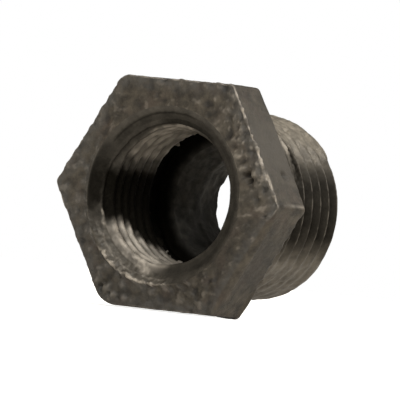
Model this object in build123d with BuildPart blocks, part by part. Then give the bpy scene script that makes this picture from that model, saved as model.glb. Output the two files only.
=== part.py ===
"""Hexagon reducing bushing of cast malleable iron, 1/2 x 3/8 inch taper pipe thread.

One casting with a hexagon head.  The head's mouth is countersunk and opens into a 3/8 inch
female pipe thread, which runs out into a relief.  A cored passage leads on through the shank,
which carries a 1/2 inch male taper thread with a short neck behind the head.

Millimetres.  The bore axis is Y: the mouth of the head lies in the plane y = 0 and faces -Y,
and the shank runs towards +Y.  Two of the hexagon's flats are horizontal, and +Z is up.
"""
import os
from math import atan, degrees, radians, sqrt, tan

from build123d import *

# Pipe thread form, common to both threads
inch = 25.4
taper = 1 / 32                      # change of radius per unit of length
flank_angle = 30.0                  # each flank, from the plane across the axis
root_flat = 0.12

# Hexagon head
across_flats = 25.0
head_height = 6.0
# Corner radii, anticlockwise from the +X corner as seen from the mouth: the casting pattern
# is worn at two of the corners
corner_radii = [0.4, 0.5, 1.8, 0.5, 2.8, 0.5]
face_edge_radius = 0.25
back_edge_radius = 0.35

# Shank with the male thread
overall_length = 20.0
male_pitch = inch / 14
male_end_radius = 10.35             # crest radius at the end of the shank
male_thread_height = 1.30
male_crest_depth = 19.2             # where the last crest passes the +X side
neck_radius = 9.30
neck_end = 6.9
neck_slope_angle = 45.0             # of the run-out cone between the neck and the crests
end_chamfer = 0.35

# Female thread in the head
female_pitch = inch / 18
female_drill_radius = 7.40          # the crests lie on the drilled hole
female_root_radius = 8.36           # root radius in the plane of the mouth
female_crest_depth = 1.70           # where the first crest passes the -X side
mouth_radius = 9.75
countersink_angle = 60.0            # half angle, from the axis

# Relief behind the female thread, and the cored passage
relief_start = 10.2
relief_radius = 8.20
relief_end = 12.2
shoulder_length = 0.4
throat_radius = 6.60
land_radius = 5.35                  # the straight stretch at the shank's end
land_length = 4.0

# Cutters reach this far past the surfaces that they cut
cutter_reach = 1.0
thread_cutter_reach = 0.08

# Worked out from the dimensions above
mouth_plane = Plane.XZ              # its normal is -Y, out of the mouth
corner_distance = across_flats / sqrt(3)
throat_depth = relief_end + shoulder_length
land_start = overall_length - land_length


def male_crest_radius(depth):
    """Crest radius of the male thread at a depth behind the mouth plane."""
    return male_end_radius + (overall_length - depth) * taper


def thread_cutter(pitch, turns, start, root_radius, height, crest_side):
    """A helical groove as a solid, tapering towards +Y: four helices joined by ruled faces.

    start is the depth of the groove's middle where it begins, on the +Z side.  crest_side is
    1 where the crests are outside the roots, and -1 where they are inside.
    """
    root_half = root_flat / 2
    reach = height + thread_cutter_reach
    open_half = root_half + reach * tan(radians(flank_angle))
    corners = [
        (0, -root_half),
        (0, root_half),
        (crest_side * reach, open_half),
        (crest_side * reach, -open_half),
    ]
    with BuildLine() as rails:
        for radial, axial in corners:
            Helix(
                pitch=pitch,
                height=turns * pitch,
                radius=root_radius + radial,
                center=(0, start + axial, 0),
                direction=(0, 1, 0),
                cone_angle=-degrees(atan(taper)),
            )
    edges = rails.line.edges()
    faces = [
        Face.make_surface_from_curves(first, second)
        for first, second in zip(edges, edges[1:] + edges[:1])
    ]
    for end in (0, 1):
        faces.append(Face(Wire.make_polygon([edge @ end for edge in edges], close=True)))
    return Solid(Shell(faces))


# Groove of the male thread, from the neck to past the end of the shank
male_start = male_crest_depth + male_pitch / 4 - 7 * male_pitch
male_cutter = thread_cutter(
    pitch=male_pitch,
    turns=8,
    start=male_start,
    root_radius=male_crest_radius(male_start) - male_thread_height,
    height=male_thread_height,
    crest_side=1,
)

# Groove of the female thread, from outside the mouth into the relief
female_start = female_crest_depth + 3 * female_pitch / 4 - 3 * female_pitch
female_cutter = thread_cutter(
    pitch=female_pitch,
    turns=9,
    start=female_start,
    root_radius=female_root_radius - female_start * taper,
    height=female_root_radius - female_drill_radius,
    crest_side=-1,
)

# Hexagon head, with each corner rounded by its own radius
with BuildPart() as head:
    with BuildSketch(mouth_plane):
        RegularPolygon(radius=corner_distance, side_count=6)
    extrude(amount=-head_height)
    for number, radius in enumerate(corner_radii):
        turn = Rotation(0, -60 * number, 0)
        corner = (turn * Location((corner_distance, head_height / 2, 0))).position
        fillet(head.edges().filter_by(Axis.Y).sort_by_distance(corner)[0], radius=radius)
    fillet(head.faces().sort_by(Axis.Y)[0].edges(), radius=face_edge_radius)
    fillet(head.faces().sort_by(Axis.Y)[-1].edges(), radius=back_edge_radius)

# Threaded shank, a solid bar so far, made of four quarters
slope_end = neck_end + (male_crest_radius(neck_end) - neck_radius) / tan(radians(neck_slope_angle))
with BuildPart() as shank:
    with BuildSketch(*[Plane.XY.rotated((0, 90 * quarter, 0)) for quarter in range(4)]):
        with BuildLine():
            Polyline(
                (0, head_height / 2),
                (neck_radius, head_height / 2),
                (neck_radius, neck_end),
                (male_crest_radius(slope_end), slope_end),
                (male_crest_radius(overall_length - end_chamfer), overall_length - end_chamfer),
                (male_end_radius - end_chamfer, overall_length),
                (0, overall_length),
                close=True,
            )
        make_face()
    revolve(axis=Axis.Y, revolution_arc=90, clean=False)
    add(male_cutter, mode=Mode.SUBTRACT, clean=False)

# The whole bushing: head and shank joined, then bored through
with BuildPart() as hex_bushing:
    add(head.part)
    add(shank.part, clean=False)

    # Countersink, a clearing bore short of the thread, the relief and the cored passage
    with BuildSketch(Plane.XY):
        with BuildLine():
            Polyline(
                (0, -cutter_reach),
                (mouth_radius + cutter_reach * tan(radians(countersink_angle)), -cutter_reach),
                (mouth_radius, 0),
                (throat_radius, (mouth_radius - throat_radius) / tan(radians(countersink_angle))),
                (throat_radius, relief_start),
                (relief_radius, relief_start),
                (relief_radius, relief_end),
                (throat_radius, throat_depth),
                (land_radius, land_start),
                (land_radius, overall_length + cutter_reach),
                (0, overall_length + cutter_reach),
                close=True,
            )
        make_face()
    revolve(axis=Axis.Y, mode=Mode.SUBTRACT, clean=False)

    # Drilled hole for the female thread
    with BuildSketch(mouth_plane):
        Circle(female_drill_radius)
    extrude(amount=-relief_start, mode=Mode.SUBTRACT, clean=False)

    add(female_cutter, mode=Mode.SUBTRACT, clean=False)

hex_bushing.part.label = "hex_bushing"

os.makedirs("parts", exist_ok=True)
export_step(hex_bushing.part, "parts/hex_bushing.step")
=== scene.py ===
"""Looks of the hexagon reducing bushing: one rough malleable-iron casting with worn pipe threads.

The casting is one closed mesh, built as rows of vertices that run round the bore axis (Y).  The
rows go from the mouth over the face, the hexagon, the neck and the male thread to the shank's
end, and come back through the cored passage, the relief and the female thread to the mouth.
In the threads the rows follow the helix.  Noise then moves the vertices, and masks on them tell
the materials where the iron is rubbed bright, dusty or dirty, and where light and shade are
painted on.

Lengths are in millimetres until the mesh is made.  Angles round the axis are in degrees where
they are written down: 0 is +X, to the right of the mouth, and 90 is +Z, above it.
"""
from math import cos, pi, radians, sin, tan

import bpy
import numpy as np
from mathutils import Matrix, Vector


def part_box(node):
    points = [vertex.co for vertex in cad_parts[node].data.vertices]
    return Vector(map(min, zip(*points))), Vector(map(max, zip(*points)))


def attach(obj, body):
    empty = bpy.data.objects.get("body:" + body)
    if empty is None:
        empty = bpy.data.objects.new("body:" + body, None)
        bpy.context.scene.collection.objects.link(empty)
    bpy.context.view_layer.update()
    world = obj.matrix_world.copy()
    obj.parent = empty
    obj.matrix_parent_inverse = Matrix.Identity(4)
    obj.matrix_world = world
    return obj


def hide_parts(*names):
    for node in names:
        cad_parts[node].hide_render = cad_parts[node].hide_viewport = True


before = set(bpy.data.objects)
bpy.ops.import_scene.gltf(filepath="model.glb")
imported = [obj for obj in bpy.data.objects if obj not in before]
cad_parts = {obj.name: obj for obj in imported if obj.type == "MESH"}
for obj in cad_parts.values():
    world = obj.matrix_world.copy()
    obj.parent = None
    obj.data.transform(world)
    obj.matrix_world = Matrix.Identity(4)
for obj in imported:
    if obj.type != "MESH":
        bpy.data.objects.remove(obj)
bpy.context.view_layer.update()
CAD_NODE = "hex_bushing"
MM = 0.001

# ---------------------------------------------------------------- dimensions, mm
LOW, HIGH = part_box(CAD_NODE)
LENGTH = (HIGH.y - LOW.y) / MM
ACROSS_FLATS = (HIGH.z - LOW.z) / MM
INCH = 25.4
TAPER = 1 / 32                      # change of radius per unit of length
TAN_FLANK = tan(radians(30))        # of a thread's flank
ROOT_FLAT = 0.12                    # width of the flat at a thread's root

HEAD = 6.0                          # height of the hexagon head
SIDE_FACTORS = (0.990, 1.006, 1.004, 0.990, 1.006, 1.004)   # the sides at 30, 90 ... 330 degrees
CORNER_RADII = (0.45, 0.6, 2.0, 0.6, 3.0, 0.7)          # the corners at 0, 60 ... 300 degrees
FRONT_EDGE = 0.22                   # rounding of the face's outer edge
BACK_EDGE = 0.38
HEX_SHIFT = (0.25, 0.16)            # the casting's hexagon sits a little off the bore
MOUTH_RADIUS = 9.75
MOUTH_SHIFT = (-0.22, 0.0)          # and so does the rim of the mouth
SHANK_LEAN = (0.20, -0.03)          # and the shank's far end
CONE_SLOPE = tan(radians(60))       # of the countersink, radius per depth
FILLET = 0.25                       # behind the head, and round the outlet

MALE_PITCH = INCH / 14
MALE_END_RADIUS = 10.40             # crest radius at the shank's end
MALE_HEIGHT = 1.30
MALE_CREST = 19.2                   # depth of a crest at the +X side
NECK_RADIUS = 9.30
NECK_END = 6.9
END_CHAMFER = 0.20

FEMALE_PITCH = INCH / 18
FEMALE_DRILL = 7.40
FEMALE_ROOT = 8.36                  # root radius in the plane of the mouth
FEMALE_CREST = 1.70                 # depth of a crest at the -X side
THREAD_FROM = 0.8                   # depth at which the helical rows begin
THREAD_END = 9.5                    # where the torn last thread stops
RELIEF_START = 10.2
RELIEF_RADIUS = 8.20
RELIEF_END = 12.2
SHOULDER_END = 12.6
THROAT_RADIUS = 6.60
LAND_RADIUS = 5.35                  # of the outlet
LAND_START = 16.0

COLUMNS = 640                       # vertices round the axis
MALE_ROWS = 20                      # rows in one pitch
FEMALE_ROWS = 18
CROWDING = 0.35                     # how much closer together the rows are at a crest

# Smaller features, mm: where each begins and ends, or its middle and half its width
LEDGE = (9.02, 9.14)                # radius of the step in the scuffed countersink
DARK_RING = (9.05, 0.28)            # radius of the dark ring in the countersink
BRIGHT_RING = (9.1, 0.16)           # radius of the rubbed ring on the ledge
LIP = (0.74, 0.14)                  # depth of the bright lip before the first female thread, partly rubbed and partly a painted highlight
UPPER_LIP = (1.75, 0.28)
RIDGE = (10.95, 0.50)               # depth of the ridge raised on the first male crest
GOUGE = (11.65, 0.26)               # depth of the groove torn beside it
SHOULDER_SHADE = (12.35, 12.75)      # depth at which the black painted shade on the shoulder gives way to grey

# Stretches round the axis, degrees: from, to, and the width of the fade at each end
MALE_WORN_ABOVE = (46, 108, 33)
MALE_WORN_BELOW = (258, 322, 27)
FEMALE_WORN_BELOW = (216, 256, 22)
FEMALE_WORN_ABOVE = (98, 148, 12)
ROUNDED_FRONT = (308, 350, 9)       # where the face's outer edge is worn right over
RIGHT_EDGE = (3, 57, 6)             # bright edge between the face and the upper right flat
JAGGED_EDGE = (6, 54, 8)            # the part of it that is chipped
TOP_EDGE = (66, 112, 6)
CLEAN_BACK_CORNER = (45, 75, 10)
FULL_BACK_CORNER = (294, 312, 6)
TORN_BACK_EDGE = (320, 352, 8)
FULL_RIM = (205, 290, 12)           # where the mouth's rim isn't worn down
BURR = (228, 274, 12)
SCUFFED_CONE = (212, 270, 14)
BARE_CONE = (205, 285, 20)          # less dirt in the countersink here
RING_STRETCH = (78, 136, 20)
FIRST_CREST = (20, 62, 6)
# Painted light and shade in the mouth, partly on real wear: lit threads low and high on the left,
# a lit first turn, the shaded first groove, and the lip's painted highlight
LOW_LEFT_THREADS = (212, 262, 18)
FIRST_TURN = (211, 256, 12)
HIGH_LEFT_THREADS = (92, 143, 11)
FIRST_GROOVE = (56, 96, 14)
LIP_STRETCH = (168, 207, 5)
BRIGHT_LIP = (196, 205, 3)
UPPER_LIP_STRETCH = (80, 112, 12)
# where the shank's thread carries more dust, lighter on top as painted light
DUST_LIT_ABOVE = (62, 120, 45)
GREY_LEFT = (160, 262, 22)
# the lower right flat is painted darker as shade
LOWER_RIGHT_FLAT = (322, 338, 20)
LOWER_RIGHT_FACE = (300, 344, 14)

# Places round the axis, degrees: the middle and half the width
ROUGH_RIGHT = (26, 62)
ROUGH_UPPER_RIGHT = (40, 26)
ROUGH_LOWER_LEFT = (236, 22)
ROUGH_LOWER_RIGHT = (296, 26)
SMOOTH_FLAT = (30, 34)
WIDE_EDGE = (12, 12)
LEFT_CORNER = (182, 16)
RIGHT_CORNER_RIDGE = (0.6, 1.1)
SOFT_LOWER_LEFT = (240, 50)         # the front edge is rounder here
SOFT_BACK_CORNER = (60, 16)         # and the back edge here

# Each noise has a seed of its own
SEEDS = dict(lumps=11, knobs=12, grain=14, pits=16, ragged=18, fine_ragged=19, chips=20,
             male_wear=32, female_wear=33, male_rub=34, female_rub=35, torn=36, fine_torn=37,
             flecks=42, streaks=43, chunks=51)

# Single lumps and pits of the casting: place, half width and height, mm
MARKS = (
    ((10.10, 0.0, 2.95), 0.60, -0.95),
    ((10.45, 0.0, 2.45), 0.50, -0.85),
    ((10.40, 0.0, 1.85), 0.40, 0.26),
    ((11.2, 0.0, 3.1), 0.45, 0.22),
    ((5.8, 0.0, 11.6), 0.55, 0.20),
    ((8.6, 0.0, 8.8), 0.60, 0.24),
    ((7.6, 0.0, 10.2), 0.50, 0.16),
    ((9.7, 0.0, 5.6), 0.60, 0.18),
    ((12.2, 0.0, 4.4), 0.45, 0.25),
    ((12.8, 0.0, 3.0), 0.40, -0.25),
    ((12.3, 3.8, 3.3), 0.75, -0.34),
    ((-7.60, 0.0, -10.10), 0.60, 0.28),
    ((-6.45, 0.0, -10.95), 0.75, 0.32),
    ((-5.40, 0.0, -11.50), 0.70, 0.30),
    ((-4.00, 0.0, -11.70), 0.60, 0.24),
    ((-7.15, 0.0, -10.65), 0.45, -0.50),
    ((-5.85, 0.0, -11.45), 0.40, -0.40),
    ((-6.60, 0.0, -10.20), 0.45, -0.36),
    ((-4.70, 0.0, -11.75), 0.36, -0.30),
    ((-0.6, 0.0, -10.7), 0.60, 0.20),
    ((4.9, 0.0, -11.3), 0.55, 0.16),
    ((7.1, 0.0, -8.9), 0.60, 0.16),
)

# Colours
DARK = (0.025, 0.020, 0.013, 1)             # cast skin
MIDDLE = (0.087, 0.072, 0.051, 1)
RUSTY = (0.072, 0.050, 0.036, 1)
# a lighter, plainer tone for the upper right flat, partly painted light
PLAIN = (0.088, 0.077, 0.061, 1)
GREY = (0.091, 0.086, 0.078, 1)
GRITTY = (0.165, 0.146, 0.118, 1)
# bright wear, and painted highlights on the face
BRIGHT = (0.62, 0.55, 0.46, 1)
SOOT_AND_SHADE = (0.010, 0.009, 0.007, 1)             # dirt, and painted shade, on skin and threads
OILY_DARK = (0.042, 0.036, 0.027, 1)        # turned metal
OILY_LIGHT = (0.078, 0.068, 0.053, 1)
# dust, lighter on the shank's top as painted light
DUST_AND_LIGHT = (0.360, 0.315, 0.248, 1)
# rubbed metal, and painted light in the mouth
POLISH_AND_LIGHT = (0.86, 0.77, 0.65, 1)
CORE_DARK = (0.021, 0.019, 0.015, 1)        # cored passage
CORE_LIGHT = (0.078, 0.072, 0.059, 1)
# painted shade, black, in the relief and on the shoulder
CORE_SHADE = (0.008, 0.007, 0.005, 1)
FLOOR_COLOUR = (0.86, 0.81, 0.73, 1)
LIGHT_COLOUR = (1, 0.985, 0.955)
DIM_COLOUR = (1, 0.96, 0.89, 1)
WHITE = (1, 1, 1, 1)

# Surroundings
FLOOR_REACH = 0.9                   # metres
FLOOR_GAP = 0.0001                  # metres between the CAD box and the floor
FLOOR_GLOW = 0.15                   # emission of the floor, seen by everything
FLOOR_GLOW_TO_CAMERA = 0.65         # and what the camera sees on top
WORLD_DIM = 0.10
# name, azimuth and elevation in degrees, strength, and width of the light in degrees
LIGHTS = (("key", 20, 45, 1.75, 30), ("rim", 125, 46, 1.7, 40))
CAMERA_AZIMUTH, CAMERA_ELEVATION, CAMERA_ROLL = 31.8, -0.41, 6.19
CAMERA_DISTANCE = 0.8               # metres
CAMERA_AIM = (0.00394, -0.00049)    # metres across and up from the mouth's centre
CAMERA_LENS, SENSOR_WIDTH = 663.4, 36


# ---------------------------------------------------------------- noise
def hashed(ix, iy, iz, seed):
    """A repeatable whole number for each lattice point."""
    h = (ix * 73856093) ^ (iy * 19349663) ^ (iz * 83492791) ^ (seed * 2654435761)
    h = (h ^ (h >> 13)) * 1274126177
    h = h & 0xFFFFFFFF
    return (h ^ (h >> 16)) & 0xFFFF


def corner_slope(number, offset):
    """Dot product of a lattice corner's own random direction with the offset from it."""
    turn = (number & 255) * (2 * pi / 256)
    height = ((number >> 8) & 255) * (2 / 255) - 1
    flat = np.sqrt(1 - height * height)
    return (
        np.cos(turn) * flat * offset[0]
        + np.sin(turn) * flat * offset[1]
        + height * offset[2]
    )


def gradient_noise(points, size, seed):
    """Smooth noise of about -1 to 1, with features of the given size."""
    p = points / size
    cell = np.floor(p).astype(np.int64)
    f = p - cell
    u = f * f * f * (f * (f * 6 - 15) + 10)
    total = np.zeros(len(p))
    for dx in (0, 1):
        for dy in (0, 1):
            for dz in (0, 1):
                number = hashed(cell[:, 0] + dx, cell[:, 1] + dy, cell[:, 2] + dz, seed)
                dot = corner_slope(number, (f[:, 0] - dx, f[:, 1] - dy, f[:, 2] - dz))
                share = (
                    (u[:, 0] if dx else 1 - u[:, 0])
                    * (u[:, 1] if dy else 1 - u[:, 1])
                    * (u[:, 2] if dz else 1 - u[:, 2])
                )
                total += share * dot
    return total * 1.6


def fractal(points, size, octaves, seed, gain=0.5):
    """Noise with finer and fainter copies of itself added."""
    total = np.zeros(len(points))
    amount = 1.0
    for octave in range(octaves):
        total += amount * gradient_noise(points, size / 2 ** octave, seed + 17 * octave)
        amount *= gain
    return total


def spots(points, size, seed):
    """Distance to the nearest scattered point, in units of size, and that point's own number."""
    p = points / size
    cell = np.floor(p).astype(np.int64)
    nearest = np.full(len(p), 9.0)
    number = np.zeros(len(p))
    for dx in (-1, 0, 1):
        for dy in (-1, 0, 1):
            for dz in (-1, 0, 1):
                c = cell + (dx, dy, dz)
                place = np.stack([hashed(*c.T, seed + k) / 65535.0 for k in range(3)], 1)
                gap = np.sqrt((((c + place) - p) ** 2).sum(1))
                own = hashed(*c.T, seed + 5) / 65535.0
                number = np.where(gap < nearest, own, number)
                nearest = np.minimum(gap, nearest)
    return nearest, number


def smooth(x, low, high):
    """0 below low, 1 above high, and a smooth step between."""
    t = np.clip((x - low) / (high - low), 0, 1)
    return t * t * (3 - 2 * t)


def bump(x, middle, half):
    """1 at middle, falling smoothly to 0 at half on either side."""
    return smooth(1 - np.abs(x - middle) / half, 0, 1)


def around(theta, degrees, half):
    """bump for an angle: 1 at degrees, 0 at half degrees away."""
    gap = (np.degrees(theta) - degrees + 180) % 360 - 180
    return smooth(1 - np.abs(gap) / half, 0, 1)


def sector(theta, low, high, fade):
    """1 from one angle to another in degrees, falling smoothly to 0 over fade on either side."""
    middle, half = (low + high) / 2, (high - low) / 2
    gap = np.abs((np.degrees(theta) - middle + 180) % 360 - 180)
    return 1 - smooth(gap, half, half + fade)


def soft_over(x, width):
    """x where it is positive and 0 elsewhere, with the corner rounded."""
    return 0.5 * (x + np.sqrt(x * x + width * width))


def strongest(*groups):
    """The highest value at each point among all the arrays that the groups hold."""
    return np.maximum.reduce([part for group in groups for part in group])


# ---------------------------------------------------------------- outline
def rounded_corner(k, apothems, facing):
    """Centre of a hexagon corner's arc, and the angles of its ends from the corner."""
    radius = CORNER_RADII[k]
    rows = [(cos(facing[j]), sin(facing[j])) for j in (k - 1, k)]
    inner = [apothems[j] - radius for j in (k - 1, k)]
    centre = np.linalg.solve(np.array(rows), np.array(inner))
    ends = [centre + radius * np.array(row) for row in rows]
    low, high = (np.arctan2(e[1], e[0]) for e in ends)
    low, high = ((a - radians(60 * k) + pi) % (2 * pi) - pi for a in (low, high))
    return centre, low, high


def hexagon_radius(theta):
    """Distance from the middle to the hexagon's outline, with each corner rounded."""
    apothems = [ACROSS_FLATS / 2 * f for f in SIDE_FACTORS]
    facing = [radians(30 + 60 * k) for k in range(6)]
    reach = np.full(theta.shape, 1e9)
    for apothem, angle in zip(apothems, facing):
        c = np.cos(theta - angle)
        reach = np.where(c > 0.3, np.minimum(reach, apothem / np.maximum(c, 0.3)), reach)
    for k, radius in enumerate(CORNER_RADII):
        centre, low, high = rounded_corner(k, apothems, facing)
        gap = (theta - radians(60 * k) + pi) % (2 * pi) - pi
        along = np.cos(theta) * centre[0] + np.sin(theta) * centre[1]
        inside = radius ** 2 - centre @ centre + along ** 2
        arc = along + np.sqrt(np.maximum(inside, 0))
        reach = np.where((gap > low) & (gap < high), arc, reach)
    return reach


def male_crest_radius(y):
    """Radius of the sharp male crests, which taper to the shank's end."""
    return MALE_END_RADIUS + (LENGTH - y) * TAPER


def crest_gap(theta, y, pitch, crest, crest_angle):
    """Distance along the axis from the nearest crest of a thread."""
    lead = (y - crest) / pitch + (theta - crest_angle) / (2 * pi)
    return np.abs(lead - np.round(lead)) * pitch


def on_circle(theta, y, radius):
    """Points at a radius, for noise that has no seam where the angle starts again."""
    flat = np.stack([radius * np.cos(theta), y, radius * np.sin(theta)], -1)
    return flat.reshape(-1, 3)


def noise_round(theta, y, radius, size, seed):
    """Noise on a circle of that radius, in the shape that theta has."""
    return gradient_noise(on_circle(theta, y, radius), size, SEEDS[seed]).reshape(theta.shape)


def male_wear(theta, y):
    """How far the male thread is rubbed down and choked, 0 to 1: most above and below."""
    ragged = noise_round(theta, y, 10.5, 2.1, "male_wear")
    angle = theta + radians(7) * ragged
    rubbed = np.maximum(sector(angle, *MALE_WORN_ABOVE), sector(angle, *MALE_WORN_BELOW))
    return np.clip(rubbed * (0.97 + 0.15 * ragged), 0.04, 0.97)


def female_wear(theta, y):
    """How far the female thread is rubbed down, 0 to 1: most at the lower left of the mouth."""
    ragged = noise_round(theta, y * 1.6, 7.8, 1.5, "female_wear")
    deep = 0.95 * bump(y, 1.6, 2.0) + 0.40 * smooth(y, 1.6, 4)
    low = sector(theta, *FEMALE_WORN_BELOW) * deep
    high = 0.72 * sector(theta, *FEMALE_WORN_ABOVE)
    return np.clip(np.maximum(low, high) + 0.25 * ragged, 0.03, 0.93)


def male_radius(theta, y):
    """Outside of the shank behind the head."""
    crest_half = (MALE_PITCH - ROOT_FLAT - 2 * MALE_HEIGHT * TAN_FLANK) / 2
    gap = crest_gap(theta, y, MALE_PITCH, MALE_CREST, 0.0)
    depth = soft_over((gap - crest_half) / TAN_FLANK, 0.10)
    depth = MALE_HEIGHT - soft_over(MALE_HEIGHT - depth, 0.12)
    thread = male_crest_radius(y) - depth
    wear = male_wear(theta, y)
    ragged = noise_round(theta, y, 10.5, 1.1, "male_rub")
    rubbed = male_crest_radius(y) - 0.12 + 0.07 * ragged - 0.06 * depth
    thread = thread + (rubbed - thread) * wear
    slope = NECK_RADIUS + np.maximum(y - NECK_END, 0)
    chamfer = MALE_END_RADIUS - END_CHAMFER + (LENGTH - y)
    return np.minimum(np.minimum(thread, slope), chamfer)


def torn_end(theta, y):
    """Depth of the ragged end of the female thread."""
    torn = noise_round(theta, np.zeros_like(y), 7.8, 0.9, "torn")
    torn = torn + 0.35 * noise_round(theta, y, 7.8, 0.5, "fine_torn")
    return THREAD_END + 0.85 * torn


def female_radius(theta, y):
    """Inside of the head, from the countersink to the end of the thread."""
    gap = FEMALE_PITCH / 2 - crest_gap(theta, y, FEMALE_PITCH, FEMALE_CREST, pi)
    root = FEMALE_ROOT - y * TAPER
    groove = root - soft_over((gap - ROOT_FLAT / 2) / TAN_FLANK, 0.10)
    thread = FEMALE_DRILL + soft_over(groove - FEMALE_DRILL, 0.10)
    wear = female_wear(theta, y)
    ragged = noise_round(theta, y, 7.8, 0.8, "female_rub")
    rubbed = FEMALE_DRILL + 0.22 + 0.14 * ragged + 0.35 * (thread - FEMALE_DRILL)
    thread = thread + (rubbed - thread) * wear
    end = torn_end(theta, y)
    thread = thread + (RELIEF_RADIUS - thread) * smooth(y, end, end + 0.30)
    return np.maximum(thread, MOUTH_RADIUS - y * CONE_SLOPE)


# ---------------------------------------------------------------- rows
class Rows:
    """Collects rows of vertices, in order along the profile, with the zone each one is in."""

    def __init__(self, theta):
        self.theta = theta
        self.radius, self.depth, self.zone = [], [], []

    def add(self, zone, radius, depth):
        ones = np.ones_like(self.theta)
        self.radius.append(radius * ones)
        self.depth.append(depth * ones)
        self.zone.append(zone)

    def helix(self, zone, shape, pitch, crest, crest_angle, phases, low, high, downwards=False):
        """Rows along a thread, from low to high: each follows the helix and stops at the ends."""
        theta = self.theta
        start = crest - pitch * (theta - crest_angle) / (2 * pi)
        first = int(np.floor((low - start.max()) / pitch)) - 1
        last = int(np.ceil((high - start.min()) / pitch)) + 1
        marks = [n + phase for n in range(first, last + 1) for phase in phases]
        depths = [np.clip(start + mark * pitch, low, high) for mark in marks]
        depths = [d for d in depths if d.max() > low and d.min() < high]
        depths = [low * np.ones_like(theta)] + depths + [high * np.ones_like(theta)]
        for depth in depths[::-1] if downwards else depths:
            self.add(zone, shape(theta, depth), depth)


def steps(count):
    """Fractions from just after 0 up to 1, for the rows that follow one already added."""
    return np.linspace(0, 1, count + 1)[1:]


def quarter(count):
    """Angles from just after 0 up to a right angle."""
    return np.linspace(0, pi / 2, count + 1)[1:]


def thread_phases(rows):
    """Places of the rows in one pitch, as fractions: closer together at the crest."""
    half = rows // 2
    t = np.linspace(0, 1, half + 1)
    side = 0.5 * (t * (1 - CROWDING) + CROWDING * (t - np.sin(2 * pi * t) / (2 * pi)))
    return np.concatenate([side, 1 - side[1:-1][::-1]])


def add_head(rows, theta):
    """The face, the hexagon's sides and its back."""
    outline = hexagon_radius(theta)
    front = FRONT_EDGE + 0.95 * sector(theta, *ROUNDED_FRONT)
    front = front + 0.3 * around(theta, *SOFT_LOWER_LEFT)
    back = BACK_EDGE + 0.45 * around(theta, *SOFT_BACK_CORNER)
    inner = NECK_RADIUS + FILLET
    for t in np.linspace(0, 1, 27):
        rows.add("face", MOUTH_RADIUS + (outline - front - MOUTH_RADIUS) * t, 0.0)
    for a in quarter(9):
        rows.add("face", outline - front + front * np.sin(a), front - front * np.cos(a))
    for t in steps(34):
        rows.add("side", outline, front + (HEAD - front - back) * t)
    for a in quarter(6):
        rows.add("side", outline - back + back * np.cos(a), HEAD - back + back * np.sin(a))
    for t in steps(20):
        rows.add("back", outline - back + (inner - outline + back) * t, HEAD)


def add_shank(rows, theta):
    """The neck, the male thread and the shank's end face."""
    for a in quarter(3):
        rows.add("neck", NECK_RADIUS + FILLET - FILLET * np.sin(a),
                 HEAD + FILLET - FILLET * np.cos(a))
    for y in np.linspace(HEAD + FILLET, NECK_END, 6)[1:]:
        rows.add("neck", NECK_RADIUS, y)
    rows.helix("male", male_radius, MALE_PITCH, MALE_CREST, 0.0,
               thread_phases(MALE_ROWS), NECK_END, LENGTH)
    rim = male_radius(theta, LENGTH * np.ones_like(theta))
    for t in steps(26):
        rows.add("end", rim + (LAND_RADIUS + FILLET - rim) * t, LENGTH)


def add_passage(rows):
    """The outlet, the cored passage and its shoulder, going back towards the mouth."""
    for a in quarter(3):
        rows.add("core", LAND_RADIUS + FILLET - FILLET * np.sin(a),
                 LENGTH - FILLET + FILLET * np.cos(a))
    for y in np.linspace(LENGTH - FILLET, LAND_START, 22)[1:]:
        rows.add("core", LAND_RADIUS, y)
    for t in steps(20):
        rows.add("core", LAND_RADIUS + (THROAT_RADIUS - LAND_RADIUS) * t,
                 LAND_START + (SHOULDER_END - LAND_START) * t)
    for t in steps(8):
        rows.add("core", THROAT_RADIUS + (RELIEF_RADIUS - THROAT_RADIUS) * t,
                 SHOULDER_END + (RELIEF_END - SHOULDER_END) * t)


def add_mouth(rows, theta):
    """The relief, the female thread and the countersink."""
    for y in np.linspace(RELIEF_END, RELIEF_START, 11)[1:]:
        rows.add("relief", RELIEF_RADIUS, y)
    last = female_radius(theta, RELIEF_START * np.ones_like(theta))
    for t in steps(5):
        rows.add("relief", RELIEF_RADIUS + (last - RELIEF_RADIUS) * t, RELIEF_START)
    rows.helix("female", female_radius, FEMALE_PITCH, FEMALE_CREST, pi,
               thread_phases(FEMALE_ROWS), THREAD_FROM, RELIEF_START, downwards=True)
    for y in np.linspace(THREAD_FROM, 0, 13)[1:]:
        rows.add("cone", MOUTH_RADIUS - y * CONE_SLOPE, y)


def casting_rows(theta):
    """All the rows, from the mouth round the outside and back through the bore."""
    rows = Rows(theta)
    add_head(rows, theta)
    add_shank(rows, theta)
    add_passage(rows)
    add_mouth(rows, theta)
    return rows


ZONES = ("face", "side", "back", "neck", "male", "end", "core", "relief", "female", "cone")
# material slots: 0 cast skin, 1 turned metal, 2 rough core
MATERIAL_OF = dict(face=0, side=0, back=0, neck=1, male=1, end=0, core=2, relief=2, female=1,
                   cone=1)


def merged(points):
    """Which points to keep, and for every point the place of its twin among the kept ones."""
    keys = np.round(points * 1e5).astype(np.int64)
    keys = keys[:, 0] + (keys[:, 1] << 21) + (keys[:, 2] << 42)
    _, first, place = np.unique(keys, return_index=True, return_inverse=True)
    return first, place


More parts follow.
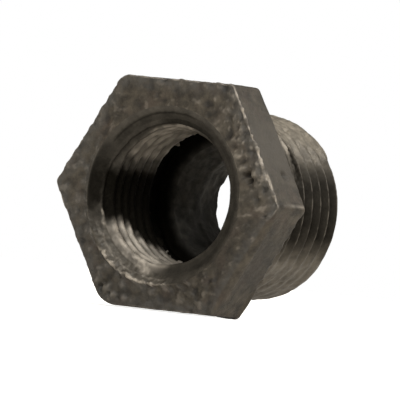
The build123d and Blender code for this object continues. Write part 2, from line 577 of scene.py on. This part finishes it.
def grid():
    """Points, faces, and each point's angle and zone, with points that coincide merged."""
    theta = np.linspace(0, 2 * pi, COLUMNS + 1)
    rows = casting_rows(theta)
    radius = np.stack(rows.radius[:-1], 1)      # the last row is the first again
    depth = np.stack(rows.depth[:-1], 1)
    zone = np.array([ZONES.index(z) for z in rows.zone[:-1]])
    count = radius.shape[1]
    turn = theta[:, None] * np.ones((1, count))
    x, z = radius * np.cos(turn), radius * np.sin(turn)
    points = np.stack([x, depth, z], -1).reshape(-1, 3)
    first, place = merged(points)
    place = place.reshape(COLUMNS + 1, count)
    wrapped = np.concatenate([place, place[:, :1]], 1)
    quads = np.stack([
        wrapped[:-1, :-1], wrapped[:-1, 1:], wrapped[1:, 1:], wrapped[1:, :-1],
    ], -1).reshape(-1, 4)
    same = quads == np.roll(quads, -1, 1)
    crossed = (quads[:, 0] == quads[:, 2]) | (quads[:, 1] == quads[:, 3])
    whole = (same.sum(1) == 0) & ~crossed
    three = (same.sum(1) == 1) & ~crossed       # quads that have shrunk to triangles
    triangles = quads[three][~same[three]].reshape(-1, 3)
    faces = quads[whole].tolist() + triangles.tolist()
    face_zone = np.tile(zone, COLUMNS)
    face_zone = np.concatenate([face_zone[whole], face_zone[three]])
    point_zone = np.tile(zone, COLUMNS + 1)[first]
    return points[first], turn.reshape(-1)[first], point_zone, faces, face_zone


# ---------------------------------------------------------------- the surface
class Surface:
    """Every point's place on the plain casting, and the noise its shape and masks share."""

    def __init__(self, points, theta, zone):
        self.points, self.theta, self.zone = points, theta, zone
        self.radius = np.hypot(points[:, 0], points[:, 2])
        self.y = points[:, 1]
        self.degrees = np.degrees(theta)
        self.set_zones()
        self.set_gaps()
        self.set_noise()
        self.set_roughness()
        self.set_features()
        self.set_marks()

    def is_in(self, *names):
        """1 at the points of the zones named, and 0 elsewhere."""
        return np.isin(self.zone, [ZONES.index(n) for n in names]).astype(float)

    def stretch(self, limits):
        """1 over a stretch of angles, with a fade at each end."""
        return sector(self.theta, *limits)

    def near(self, place):
        """1 at an angle, falling to 0 at half its width away."""
        return around(self.theta, *place)

    def set_zones(self):
        self.head = self.is_in("face", "side", "back")
        self.face = self.is_in("face") * (1 - smooth(self.y, 0.1, 0.3))
        self.skin = np.maximum(self.face, self.is_in("back", "end") * 0.7)
        self.flats = self.is_in("side")
        self.cone = self.is_in("cone")
        self.male = self.is_in("male")
        self.female = self.is_in("female")

    def set_gaps(self):
        """Distances from the hexagon's front and back edges and from the mouth's rim."""
        outline = hexagon_radius(self.theta)
        off_head = 10 * (1 - self.head)
        off_rim = 10 * (1 - self.is_in("face", "cone"))
        self.edge_gap = np.maximum(outline - self.radius, self.y) + off_head
        self.back_gap = np.maximum(outline - self.radius, HEAD - self.y) + off_head
        self.rim_gap = np.abs(self.radius - MOUTH_RADIUS) + off_rim

    def set_noise(self):
        points = self.points
        self.lumps = gradient_noise(points, 1.35, SEEDS["lumps"])
        self.knobs = gradient_noise(points, 0.90, SEEDS["knobs"])
        self.grain = fractal(points, 0.40, 2, SEEDS["grain"])
        self.chunks = gradient_noise(points, 0.52, SEEDS["chunks"])
        self.ragged = gradient_noise(points, 0.8, SEEDS["ragged"])
        self.ragged += 0.6 * gradient_noise(points, 0.4, SEEDS["fine_ragged"])
        twist = points + 0.35 * np.stack([self.lumps, self.knobs, self.grain], 1)
        gap, number = spots(twist, 1.4, SEEDS["pits"])
        self.pits = (1 - smooth(gap, 0.04, 0.36)) * (number > 0.68)
        self.pocks = (1 - smooth(gap, 0.1, 0.4)) * (number > 0.5)
        gap, number = spots(points, 1.6, SEEDS["chips"])
        self.chips = (1 - smooth(gap, 0.05, 0.45)) * (number > 0.45)
        self.flecks = smooth(fractal(points, 0.9, 3, SEEDS["flecks"]), -0.5, 0.5)
        along = on_circle(self.theta, self.y * 3, self.radius)
        self.streaks = smooth(gradient_noise(along, 1.3, SEEDS["streaks"]), -0.45, 0.45)

    def set_roughness(self):
        """How coarse the cast skin is at each point."""
        self.right = 1 + 1.1 * self.near(ROUGH_RIGHT)
        self.upper_right = self.near(ROUGH_UPPER_RIGHT)
        self.low_corners = self.near(ROUGH_LOWER_LEFT) + 0.7 * self.near(ROUGH_LOWER_RIGHT)
        self.smooth_flat = self.near(SMOOTH_FLAT)
        off_rim = smooth(self.radius, MOUTH_RADIUS, MOUTH_RADIUS + 0.5)
        self.fade = off_rim * self.face + (1 - self.face)
        self.coarse = self.skin * self.fade * (self.right + 0.9 * self.low_corners)
        self.coarse += self.flats * (0.24 - 0.17 * self.smooth_flat)

    def set_features(self):
        """The burr, the scuffed cone, the wear of the male thread and its damaged crest."""
        jagged = np.abs(self.radius - MOUTH_RADIUS + 0.24 * self.ragged + 0.12 * self.grain)
        line = 1 - smooth(jagged + 5 * (self.rim_gap > 1), 0.02, 0.20)
        self.burr = self.stretch(BURR) * line
        self.scuffed = self.cone * self.stretch(SCUFFED_CONE)
        self.male_wear = male_wear(self.theta, self.y)
        self.worn_male = self.male * self.male_wear
        self.crisp_male = self.male * (1 - self.male_wear)
        first_crest = self.stretch(FIRST_CREST) * self.male
        turn_depth = self.y + MALE_PITCH * self.theta / (2 * pi)
        self.ridge = first_crest * bump(turn_depth + 0.15 * self.ragged, *RIDGE)
        self.gouge = first_crest * bump(turn_depth + 0.20 * self.ragged, *GOUGE)

    def set_marks(self):
        """The single lumps and pits: how far each pushes, and masks of the pits and lumps."""
        self.marks = []
        self.hole = np.zeros(len(self.y))
        self.knob = np.zeros(len(self.y))
        for place, half, height in MARKS:
            away = np.sqrt(((self.points - np.array(place)) ** 2).sum(1)) / half
            mark = (1 - smooth(away + 0.15 * self.ragged, 0, 1)) * (self.head > 0)
            self.marks.append(height * mark)
            self.hole = np.maximum(self.hole, np.minimum(-1.3 * height, 1) * mark)
            self.knob = np.maximum(self.knob, np.minimum(3.5 * height, 1) * mark)


# Each of these gives parts, in mm along the normal, that add up
def cast_relief(s):
    """Lumps, knobs, pits and grain of the cast skin, strongest on the right of the face."""
    yield s.coarse * (0.10 * s.lumps + 0.12 * s.knobs - 0.12 * s.pits)
    yield 0.036 * s.grain * (s.coarse - 0.3 * s.flats * (1 - s.smooth_flat))
    strength = (s.right - 1) + 0.6 * s.low_corners + 1.3 * s.upper_right
    yield 0.085 * s.chunks * s.face * s.fade * strength


def edge_relief(s):
    """Worn, chipped edges of the hexagon."""
    near_edge = 1 - smooth(s.edge_gap, 0.10, 0.75)
    yield s.head * near_edge * (0.032 * s.ragged - 0.05 * s.chips * s.right)
    upper_edge = s.head * (1 - smooth(s.edge_gap, 0.08, 0.45)) * s.stretch(JAGGED_EDGE)
    yield upper_edge * (0.17 * s.ragged + 0.05)
    near_back = (1 - smooth(s.back_gap, 0.10, 0.75)) * (1 - s.stretch(CLEAN_BACK_CORNER))
    full_corner = s.stretch(FULL_BACK_CORNER)
    yield s.head * near_back * (0.05 * s.ragged - 0.12 * s.chips) * (1 - full_corner)
    yield s.head * near_back * s.stretch(TORN_BACK_EDGE) * (0.14 * s.ragged - 0.06)
    yield s.head * near_back * 0.22 * full_corner


def mouth_relief(s):
    """The burr at the lower left of the mouth, its worn rim, and the turned countersink."""
    yield s.burr * (0.09 + 0.06 * s.ragged)
    worn_rim = 0.05 * s.ragged - 0.13 * (1 - s.stretch(FULL_RIM))
    yield (1 - smooth(s.rim_gap, 0.0, 0.8)) * worn_rim
    yield s.cone * (0.012 * np.sin(s.radius * 16) + 0.02 * s.grain)
    ledge = smooth(s.radius + 0.16 * s.ragged + 0.10 * s.knobs, *LEDGE)
    yield s.scuffed * (0.03 * s.ragged + 0.03 * s.grain + 0.10 * ledge - 0.03)


def thread_relief(s):
    """Tool marks, the damaged first male crest and the pocks where the thread is choked."""
    yield s.is_in("neck", "male", "female") * (0.018 * s.grain + 0.012 * s.ragged)
    yield s.ridge * (0.10 + 0.20 * s.ragged) - 0.30 * s.gouge
    yield s.worn_male * (0.03 * s.knobs - 0.16 * s.pocks)


def core_relief(s):
    """The rough cored passage and relief."""
    rough = 0.17 * s.lumps + 0.11 * s.knobs + 0.03 * s.grain - 0.03
    yield s.is_in("core", "relief") * rough


def move_off_centre(s, moved):
    """The hexagon, the mouth and the shank's end are each a little off the bore."""
    hexagon = s.head * (1 - smooth(10.5 - s.radius, 0, 0.75))
    mouth = 1 - smooth(s.rim_gap, 0, 0.9)
    lean = np.clip((s.y - NECK_END) / (LENGTH - NECK_END), 0, 1) * smooth(s.radius, 7.0, 9.3)
    for amount, (across, up) in ((hexagon, HEX_SHIFT), (mouth, MOUTH_SHIFT), (lean, SHANK_LEAN)):
        moved[:, 0] += amount * across
        moved[:, 2] += amount * up


# Each of these gives parts of a mask, 0 to 1, of which the strongest counts
def head_wear_and_highlights(s):
    """Bright wear on the hexagon's edges, the burr and the knobs; on the bumps of the face, partly
    rubbed and partly painted highlight.
    """
    right_edge = s.stretch(RIGHT_EDGE) * (1 - 0.20 * smooth(s.degrees, 25, 42))
    other_edges = 0.30 + 0.35 * s.near(LEFT_CORNER) + 0.25 * s.stretch(TOP_EDGE)
    sharp = np.maximum(right_edge, other_edges)
    width = 0.24 + 0.40 * s.near(WIDE_EDGE)
    yield s.head * (1 - smooth(s.edge_gap, 0.05, width)) * sharp * (0.12 + 0.88 * s.flecks)
    yield 0.40 * s.head * (1 - smooth(s.back_gap, 0.05, 0.30)) * s.flecks
    ridge_of_corner = s.flats * s.near(RIGHT_CORNER_RIDGE) * smooth(s.y, 1.0, 4.5)
    yield 0.32 * ridge_of_corner * (0.5 + 0.5 * s.flecks)
    yield s.burr * (0.25 + 0.55 * s.flecks) * (1 - 0.4 * s.cone)
    yield 0.22 * s.knob * (s.points[:, 0] < 0) * (0.5 + 0.5 * s.flecks)
    # painted highlights on the tops of the face's chunks
    strength = 0.16 * (s.right - 1) + 0.20 * s.upper_right
    yield s.face * s.fade * (smooth(s.chunks + 0.4 * s.grain, 0.25, 0.85) * strength)
    # brighter tops of the face's bumps, partly rubbed and partly painted highlight
    high_spots = smooth(0.6 * s.lumps + s.knobs + 0.5 * s.grain, 0.30, 0.95)
    yield s.face * (s.right - 0.35) * 0.19 * high_spots


def female_wear_and_light(s, crest):
    """Bright patches in the mouth, partly rubbed and partly painted light: the crests, the first
    turn, the ledge and the lip.
    """
    mouth = s.is_in("female", "cone")
    # the lit lower left threads, partly painted light, with painted shade deeper in
    low_left = s.stretch(LOW_LEFT_THREADS) * (1 - 0.65 * smooth(s.y, 2.5, 8))
    yield s.female * low_left * (0.20 + 0.55 * crest) * (0.4 + 0.6 * s.streaks)
    # a lit band on the first turn, partly painted light
    middle = 1.75 - 0.95 * smooth(s.degrees, 236, 262)
    half = 0.80 - 0.45 * smooth(s.degrees, 240, 265)
    first_turn = s.stretch(FIRST_TURN) * bump(s.y + 0.25 * s.ragged, middle, half)
    first_turn *= 1 - 0.45 * smooth(s.degrees, 244, 256)
    yield mouth * first_turn * (0.75 + 0.25 * s.flecks)
    # painted light on the upper left threads
    high_left = sector(s.theta + radians(6) * s.lumps, *HIGH_LEFT_THREADS)
    high_left = high_left * smooth(s.y, 1.5, 2.6)
    yield s.female * high_left * (0.20 + 0.22 * s.streaks) * (0.5 + 0.5 * crest)
    ring = bump(s.radius + 0.16 * s.ragged + 0.10 * s.knobs, *BRIGHT_RING)
    yield s.scuffed * 0.16 * ring
    # the lip's bright line, partly rubbed and partly a painted highlight
    lip = bump(s.y + 0.10 * s.ragged, *LIP) * (0.03 + 0.36 * s.stretch(BRIGHT_LIP))
    lip *= s.stretch(LIP_STRETCH)
    lip = np.maximum(lip, 0.30 * bump(s.y, *UPPER_LIP) * s.stretch(UPPER_LIP_STRETCH))
    yield mouth * lip * (0.35 + 0.65 * s.flecks)


def male_bright(s):
    """Bright wear on the shank: tips of crisp crests, the ridge, and flecks near the head."""
    tip = 1 - smooth(male_crest_radius(s.y) - s.radius, 0.02, 0.09)
    yield s.crisp_male * tip * (0.01 + 0.12 * s.flecks)
    yield s.ridge * (0.03 + 0.25 * s.flecks)
    yield s.worn_male * 0.5 * smooth(s.flecks, 0.6, 1) * (s.y < 9.5)


def dusty_and_lit(s):
    """Dry dust in the choked male thread, heavier on its top, where it is partly painted light;
    dust on the scuffed cone; and grit on the face.
    """
    # the male thread's dust grows on its top, partly as painted light
    yield s.worn_male * (0.55 + 0.45 * s.flecks) * (0.28 + 0.72 * s.stretch(DUST_LIT_ABOVE))
    yield s.scuffed * (0.04 + 0.14 * s.flecks)
    yield s.face * (s.right - 1) / 1.1 * smooth(0.7 * s.lumps + s.knobs, -0.8, 0.8)


def grey_skin(s):
    """Greyer skin towards the face's outer edge and on its left."""
    near_edge = 1 - smooth(s.edge_gap + 0.5 * s.lumps, 0.3, 1.9)
    yield s.face * near_edge * (0.45 + 0.55 * s.flecks)
    left = s.stretch(GREY_LEFT) * smooth(s.knobs + s.lumps, -0.6, 0.9)
    yield 0.7 * s.face * left


def head_dirt_and_shade(s, grey, under):
    """Dirt in the pits and hollows of the cast skin; painted shade in the hollows between the
    face's chunks and on the lower right flat; and a darker face towards its lower right and its
    bottom.
    """
    hollows = smooth(-s.lumps - 0.8 * s.knobs, 0.15, 1.1)
    yield np.clip((0.62 * s.pits + 0.62 * hollows) * s.coarse, 0, 0.8)
    # painted shade in the hollows between the face's chunks
    strength = 0.5 * (s.right - 1) + 0.15 * s.upper_right
    yield s.face * s.fade * (smooth(-s.chunks - 0.4 * s.grain, 0.2, 0.8) * strength)
    yield s.hole
    # painted shade on the lower right flat
    yield s.flats * 0.51 * under
    yield s.face * 0.28 * s.stretch(LOWER_RIGHT_FACE)
    yield s.face * 0.21 * smooth(-s.points[:, 2], 3, 8) * (1 - 0.6 * grey)


def mouth_dirt_and_shade(s, turned):
    """Darker countersink: all round, in a ring at the top, and black painted shade on the left."""
    rim_blend = smooth(s.y, 0.05, 0.6)
    yield s.cone * (0.46 - 0.25 * s.stretch(BARE_CONE)) * rim_blend
    ring = s.cone * bump(s.radius + 0.04 * s.ragged, *DARK_RING) * s.stretch(RING_STRETCH)
    yield 0.75 * ring
    # painted shade: the left side of the countersink is painted black
    left_side = smooth(turned, 128, 174) * (1 - 0.6 * smooth(turned, 184, 200))
    left_side *= 1 - smooth(turned, 204, 214)
    yield 0.92 * s.cone * left_side * (0.55 + 0.45 * smooth(s.y, 0.0, 0.14))


def thread_dirt_and_shade(s, crest, shade):
    """Black painted shade on the left wall of the female thread, in its first groove at the top
    and in the neck behind the head; darker in the gouge, on the crisp male thread and in the
    female thread's grooves.
    """
    yield shade
    # painted shade in the first groove under the top of the mouth
    yield 0.70 * (s.stretch(FIRST_GROOVE) * s.female * (1 - smooth(s.y, 1.35, 1.7)))
    yield 0.9 * s.gouge
    yield s.crisp_male * 0.65
    yield 0.35 * s.female * (1 - crest)
    # painted shade in the neck behind the head
    yield s.is_in("neck")


def core_dirt_and_shade(s):
    """Black painted shade in the relief and on the shoulder, and darker deeper in and lower down
    in the outlet.
    """
    core = s.is_in("core")
    yield s.is_in("relief")
    yield core * (1 - smooth(s.y, *SHOULDER_SHADE))
    yield core * 0.86 * smooth(s.y - 0.8 * s.points[:, 2], 14.0, 20.0)


def make_masks(s):
    """The masks that the materials read, 0 to 1 at every point, with painted light and shade among
    them.
    """
    crest = 1 - smooth(s.radius - FEMALE_DRILL, 0.12, 0.62)
    under = s.stretch(LOWER_RIGHT_FLAT)
    turned = s.degrees + 3 * s.ragged
    # painted shade: the female thread's wall on the left of the bore is black up to lit_from,
    # which grows with depth
    lit_from = 205 + 26 * smooth(s.y, 3.0, 8.0)     # the black wall at the left ends here
    shade = smooth(turned, 153, 168) * (1 - smooth(turned, lit_from - 7, lit_from + 7))
    shade = shade * s.female
    # wear holds real wear and painted light, and is taken off where the painted shade is
    wear = strongest(head_wear_and_highlights(s), female_wear_and_light(s, crest), male_bright(s))
    wear = wear * (1 - shade * smooth(s.y, 0.80, 0.84))
    wear = wear * (1 - 0.9 * s.hole)
    grey = strongest(grey_skin(s))
    # the dark mask holds real dirt and painted shade
    dirt_and_shade = strongest(head_dirt_and_shade(s, grey, under), mouth_dirt_and_shade(s, turned),
                     thread_dirt_and_shade(s, crest, shade), core_dirt_and_shade(s))
    dirt_and_shade = dirt_and_shade * (1 - np.clip(1.5 * wear, 0, 1))   # nothing that shines is dirty
    dust_and_light = strongest(dusty_and_lit(s))
    return {"wear": np.clip(wear, 0, 1), "dust_and_light": np.clip(dust_and_light, 0, 1), "dirt_and_shade": dirt_and_shade,
            "plain": s.flats * s.smooth_flat, "soft": s.flats * under, "grey": grey}


def sculpt(points, normals, theta, zone):
    """Moves the points off the plain shape and returns them with the materials' masks."""
    s = Surface(points, theta, zone)
    push = np.zeros(len(points))
    for relief in (cast_relief(s), edge_relief(s), mouth_relief(s), thread_relief(s),
                   core_relief(s), s.marks):
        for part in relief:
            push += part
    moved = points + normals * push[:, None]
    move_off_centre(s, moved)
    return moved, make_masks(s)


def make_mesh():
    """The casting's mesh, with its masks and its material slots."""
    points, theta, zone, faces, face_zone = grid()
    mesh = bpy.data.meshes.new("bushing_casting")
    mesh.from_pydata(points * MM, [], faces)
    mesh.update()
    normals = np.zeros(len(points) * 3, np.float32)
    mesh.vertices.foreach_get("normal", normals)
    normals = normals.reshape(-1, 3).astype(float)
    moved, masks = sculpt(points, normals, theta, zone)
    mesh.vertices.foreach_set("co", (moved * MM).astype(np.float32).reshape(-1))
    for name, values in masks.items():
        layer = mesh.attributes.new(name, "FLOAT", "POINT")
        layer.data.foreach_set("value", values.astype(np.float32))
    slots = np.array([MATERIAL_OF[z] for z in ZONES], np.int32)[face_zone]
    mesh.polygons.foreach_set("material_index", slots)
    mesh.polygons.foreach_set("use_smooth", np.ones(len(faces), bool))
    mesh.update()
    return mesh


# ---------------------------------------------------------------- materials
class Nodes:
    """A short way to write a material's nodes."""

    def __init__(self, name):
        self.material = bpy.data.materials.new(name)
        self.material.use_nodes = True
        self.tree = self.material.node_tree
        self.tree.nodes.clear()
        self.where = self.add("ShaderNodeTexCoord").outputs["Object"]

    def add(self, kind, **values):
        node = self.tree.nodes.new(kind)
        for key, value in values.items():
            setattr(node, key, value)
        return node

    def put(self, socket, value):
        if isinstance(value, bpy.types.NodeSocket):
            self.tree.links.new(value, socket)
        else:
            socket.default_value = value

    def noise(self, size_mm, detail, roughness=0.55):
        node = self.add("ShaderNodeTexNoise")
        self.put(node.inputs["Vector"], self.where)
        node.inputs["Scale"].default_value = 1 / (size_mm * MM)
        node.inputs["Detail"].default_value = detail
        node.inputs["Roughness"].default_value = roughness
        return node.outputs["Fac"]

    def mask(self, name):
        return self.add("ShaderNodeAttribute", attribute_name=name).outputs["Fac"]

    def between(self, value, low, high, to_low=0.0, to_high=1.0):
        node = self.add("ShaderNodeMapRange")
        self.put(node.inputs["Value"], value)
        for key, number in (("From Min", low), ("From Max", high),
                            ("To Min", to_low), ("To Max", to_high)):
            node.inputs[key].default_value = number
        return node.outputs["Result"]

    def maths(self, operation, first, second):
        node = self.add("ShaderNodeMath", operation=operation, use_clamp=True)
        self.put(node.inputs[0], first)
        self.put(node.inputs[1], second)
        return node.outputs["Value"]

    def mix(self, amount, first, second):
        node = self.add("ShaderNodeMix", data_type="RGBA")
        self.put(node.inputs["Factor"], amount)
        self.put(node.inputs[6], first)
        self.put(node.inputs[7], second)
        return node.outputs[2]

    def cover(self, colour, mask, share, with_colour):
        """Lays a colour over another where a mask says, at most to the share given."""
        return self.mix(self.maths("MULTIPLY", self.mask(mask), share), colour, with_colour)

    def finish(self, colour, roughness, height, reach_mm, strength, metallic=0.0):
        shader = self.add("ShaderNodeBsdfPrincipled")
        self.put(shader.inputs["Base Color"], colour)
        self.put(shader.inputs["Roughness"], roughness)
        self.put(shader.inputs["Metallic"], metallic)
        bumped = self.add("ShaderNodeBump")
        bumped.inputs["Strength"].default_value = strength
        bumped.inputs["Distance"].default_value = reach_mm * MM
        self.put(bumped.inputs["Height"], height)
        self.put(shader.inputs["Normal"], bumped.outputs["Normal"])
        output = self.add("ShaderNodeOutputMaterial")
        self.put(output.inputs["Surface"], shader.outputs["BSDF"])
        return self.material


def cast_skin():
    """Oxidised cast skin: mottled, gritty and rusty in patches, bright where it is rubbed, with
    painted highlights and shade on the face's chunks, painted light on the upper right flat and
    painted shade on the lower right flat.
    """
    nodes = Nodes("cast_skin")
    patches = nodes.between(nodes.noise(1.5, 6, 0.66), 0.38, 0.62)
    rust = nodes.between(nodes.noise(2.3, 3), 0.50, 0.66, 0, 0.5)
    grain = nodes.noise(0.26, 4, 0.65)
    colour = nodes.mix(patches, DARK, MIDDLE)
    colour = nodes.mix(rust, colour, RUSTY)
    colour = nodes.cover(colour, "dust_and_light", 0.55, GRITTY)
    colour = nodes.cover(colour, "grey", 0.8, GREY)
    # the upper right flat's plain tone, partly painted light
    colour = nodes.cover(colour, "plain", 0.85, PLAIN)
    # dirt and painted shade
    colour = nodes.cover(colour, "dirt_and_shade", 0.92, SOOT_AND_SHADE)
    # wear and painted highlights
    colour = nodes.mix(nodes.mask("wear"), colour, BRIGHT)
    rough = nodes.between(grain, 0.3, 0.7, 0.48, 0.72)
    softer = nodes.between(nodes.mask("soft"), 0, 1, 1.0, 0.2)
    height = nodes.maths("MULTIPLY", grain, softer)
    return nodes.finish(colour, rough, height, reach_mm=0.16, strength=0.55)


def turned_metal():
    """Threads and countersink: oily dark metal with bright patches, partly rubbed and partly
    painted light, dry dust painted lighter on the shank's top, and black painted shade.
    """
    nodes = Nodes("turned_metal")
    fine = nodes.noise(0.30, 4, 0.65)
    colour = nodes.mix(nodes.between(nodes.noise(1.0, 4), 0.35, 0.65), OILY_DARK, OILY_LIGHT)
    # dust, lighter on the shank's top as painted light
    colour = nodes.mix(nodes.mask("dust_and_light"), colour, DUST_AND_LIGHT)
    # dirt and painted shade
    colour = nodes.cover(colour, "dirt_and_shade", 0.92, SOOT_AND_SHADE)
    # rubbed wear and painted light
    colour = nodes.mix(nodes.mask("wear"), colour, POLISH_AND_LIGHT)
    duller = nodes.maths("MULTIPLY", nodes.mask("dirt_and_shade"), 0.3)
    rough = nodes.maths("ADD", nodes.between(fine, 0.3, 0.7, 0.40, 0.62), duller)
    # metallic rises with the dirt and painted shade, so that the black there does not shine
    metal = nodes.between(nodes.mask("dirt_and_shade"), 0, 1, 0.2, 1.0)
    return nodes.finish(colour, rough, fine, reach_mm=0.06, strength=0.45, metallic=metal)


def rough_core():
    """The cored passage: dark, coarse and dull, with black painted shade in the relief and on the
    shoulder.
    """
    nodes = Nodes("rough_core")
    lumps = nodes.noise(1.1, 5, 0.6)
    colour = nodes.mix(nodes.between(lumps, 0.35, 0.65), CORE_DARK, CORE_LIGHT)
    # painted shade, black, from the dark mask
    colour = nodes.mix(nodes.mask("dirt_and_shade"), colour, CORE_SHADE)
    return nodes.finish(colour, 0.8, lumps, reach_mm=0.25, strength=0.7,
                        metallic=nodes.mask("dirt_and_shade"))


# ---------------------------------------------------------------- surroundings
def floor_white():
    """Pale and matt, with a glow that is strong only to the camera."""
    material = bpy.data.materials.new("floor_white")
    material.use_nodes = True
    tree = material.node_tree
    shader = tree.nodes["Principled BSDF"]
    shader.inputs["Base Color"].default_value = FLOOR_COLOUR
    shader.inputs["Roughness"].default_value = 1.0
    shader.inputs["Specular IOR Level"].default_value = 0.0
    shader.inputs["Emission Color"].default_value = WHITE
    path = tree.nodes.new("ShaderNodeLightPath")
    glow = tree.nodes.new("ShaderNodeMath")
    glow.operation = "MULTIPLY_ADD"
    glow.inputs[1].default_value = FLOOR_GLOW_TO_CAMERA
    glow.inputs[2].default_value = FLOOR_GLOW
    tree.links.new(path.outputs["Is Camera Ray"], glow.inputs[0])
    tree.links.new(glow.outputs["Value"], shader.inputs["Emission Strength"])
    return material


def make_floor():
    """A plain pale floor under the hexagon's lower flat."""
    mesh = bpy.data.meshes.new("floor")
    reach, height = FLOOR_REACH, LOW.z - FLOOR_GAP
    corners = [(-reach, -reach, height), (reach, -reach, height), (reach, reach, height),
               (-reach, reach, height)]
    mesh.from_pydata(corners, [], [(0, 1, 2, 3)])
    mesh.materials.append(floor_white())
    floor = bpy.data.objects.new("floor", mesh)
    bpy.context.scene.collection.objects.link(floor)


def direction(azimuth, elevation):
    """Unit vector from the object. Azimuth 0 points to -Y, in front of the mouth, and 90 to +X."""
    return Vector((sin(azimuth) * cos(elevation), -cos(azimuth) * cos(elevation), sin(elevation)))


def make_light(name, azimuth, elevation, strength, softness):
    """A soft light from far away, in the direction that the angles give."""
    data = bpy.data.lights.new(name, "SUN")
    data.energy = strength
    data.color = LIGHT_COLOUR
    data.angle = radians(softness)
    light = bpy.data.objects.new(name, data)
    bpy.context.scene.collection.objects.link(light)
    towards = direction(radians(azimuth), radians(elevation))
    light.rotation_euler = towards.to_track_quat("Z", "Y").to_euler()


def make_world():
    """White to the camera, and dim all round for light and reflections."""
    world = bpy.data.worlds.new("studio")
    bpy.context.scene.world = world
    world.use_nodes = True
    tree = world.node_tree
    tree.nodes.clear()
    dim = tree.nodes.new("ShaderNodeBackground")
    dim.inputs["Color"].default_value = DIM_COLOUR
    dim.inputs["Strength"].default_value = WORLD_DIM
    white = tree.nodes.new("ShaderNodeBackground")
    white.inputs["Color"].default_value = WHITE
    white.inputs["Strength"].default_value = 1.0
    path = tree.nodes.new("ShaderNodeLightPath")
    mix = tree.nodes.new("ShaderNodeMixShader")
    output = tree.nodes.new("ShaderNodeOutputWorld")
    tree.links.new(path.outputs["Is Camera Ray"], mix.inputs[0])
    tree.links.new(dim.outputs[0], mix.inputs[1])
    tree.links.new(white.outputs[0], mix.inputs[2])
    tree.links.new(mix.outputs[0], output.inputs["Surface"])


def make_camera():
    """A long lens at the photograph's viewing angle, rolled as the real piece is tipped."""
    azimuth, roll = radians(CAMERA_AZIMUTH), radians(CAMERA_ROLL)
    back = direction(azimuth, radians(CAMERA_ELEVATION))
    level = Vector((cos(azimuth), sin(azimuth), 0))
    above = back.cross(level)
    right = cos(roll) * level + sin(roll) * above
    up = cos(roll) * above - sin(roll) * level
    data = bpy.data.cameras.new("camera")
    data.lens = CAMERA_LENS
    data.sensor_width = SENSOR_WIDTH
    data.clip_end = 10
    camera = bpy.data.objects.new("camera", data)
    bpy.context.scene.collection.objects.link(camera)
    turn = Matrix((right, up, back)).transposed().to_4x4()
    place = back * CAMERA_DISTANCE + right * CAMERA_AIM[0] + up * CAMERA_AIM[1]
    camera.matrix_world = Matrix.Translation(place) @ turn
    bpy.context.scene.camera = camera


def make_surroundings():
    make_floor()
    make_world()
    for light in LIGHTS:
        make_light(*light)
    make_camera()
    bpy.context.scene.view_settings.view_transform = "Standard"
    bpy.context.scene.view_settings.look = "None"


# ---------------------------------------------------------------- the piece
make_surroundings()
casting = bpy.data.objects.new("bushing_casting", make_mesh())
bpy.context.scene.collection.objects.link(casting)
for material in (cast_skin(), turned_metal(), rough_core()):
    casting.data.materials.append(material)
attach(casting, "root")
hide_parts(CAD_NODE)
